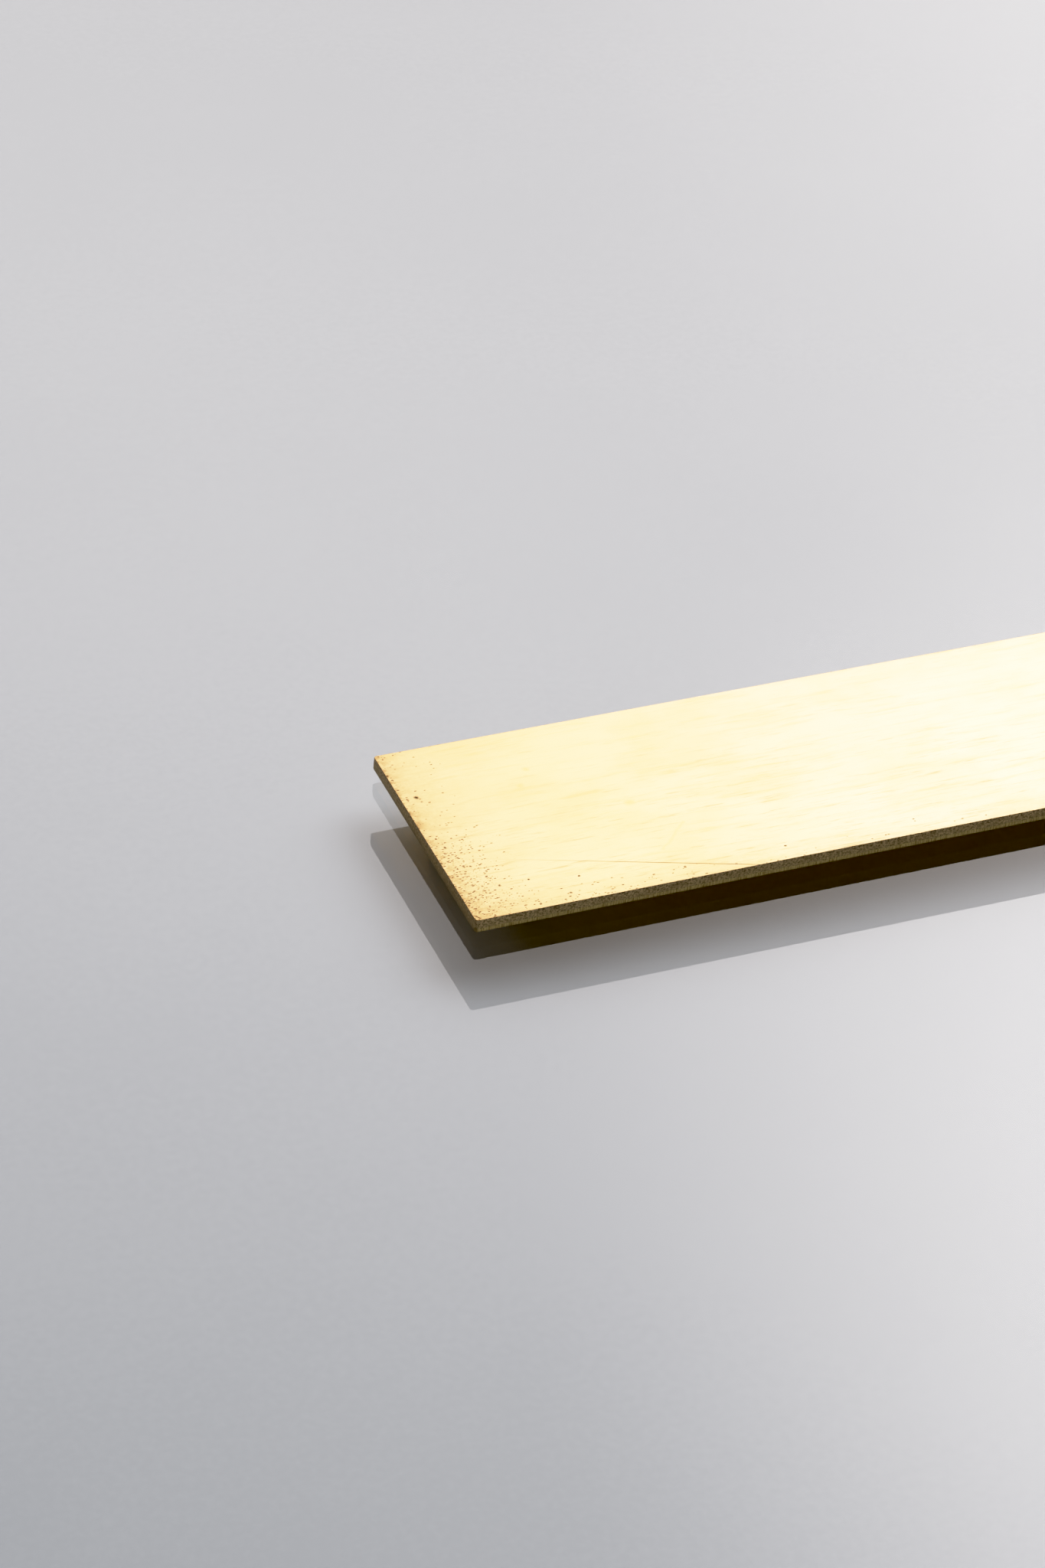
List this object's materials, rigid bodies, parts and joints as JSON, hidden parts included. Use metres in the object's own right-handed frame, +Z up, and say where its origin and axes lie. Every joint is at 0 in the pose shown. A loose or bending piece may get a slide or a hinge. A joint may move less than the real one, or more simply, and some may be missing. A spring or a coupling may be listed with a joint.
{
  "type": "paperweight",
  "caption": "Flat brushed brass bar paperweight with square ends, standing on thin non-slip discs stuck underneath.",
  "frame": {"origin": "under the middle of the bar, on the surface that the feet stand on", "axes": "+X along the bar, +Y across it, +Z up through its thickness"},
  "size_m": [0.15, 0.03, 0.0025],
  "materials": {
    "brass": "brushed",
    "foot_rubber": "matte",
    "adhesive_film": "satin"
  },
  "bodies": {
    "root": {"bar": "brass", "foot_front_left": "foot_rubber", "foot_front_right": "foot_rubber", "foot_rear_left": "foot_rubber", "foot_rear_right": "foot_rubber", "film_front_left": "adhesive_film", "film_front_right": "adhesive_film", "film_rear_left": "adhesive_film", "film_rear_right": "adhesive_film"}
  },
  "joints": []
}
